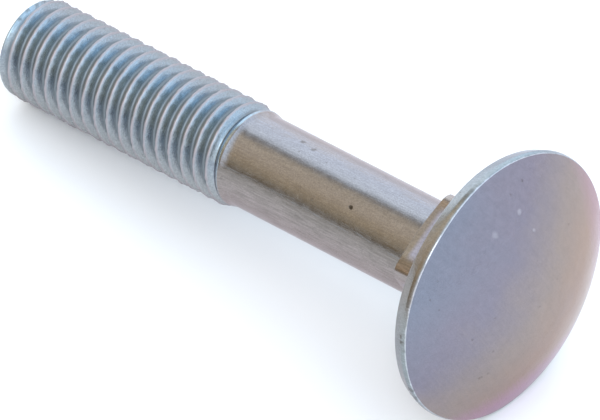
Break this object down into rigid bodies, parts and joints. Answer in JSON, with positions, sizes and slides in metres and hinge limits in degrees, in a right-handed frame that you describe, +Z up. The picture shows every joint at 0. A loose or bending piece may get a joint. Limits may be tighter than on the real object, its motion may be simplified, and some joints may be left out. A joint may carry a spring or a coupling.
{
  "type": "carriage bolt",
  "caption": "Carriage bolt lying at rest: a broad low-domed head with a rounded rim over a short square neck, a plain drawn-down shank and a coarse rolled thread to the tip",
  "frame": {"origin": "The centre of the head's bearing face, where the face meets the bolt's own axis", "axes": "The bolt lies as it would come to rest on a level surface, on the lowest point of its rim and on the first crest by the tip. +Z is up. The crown faces +X and the tip -X, with the bolt's axis in the XZ plane and 8.03 degrees off level, tip down."},
  "size_m": [0.05, 0.0208, 0.0206],
  "materials": {
    "zinc_plate": "bright electroplated zinc with a clear passivation that shows faint blue, pink and straw tints"
  },
  "bodies": {
    "root": {"bolt": "zinc_plate"}
  },
  "joints": []
}
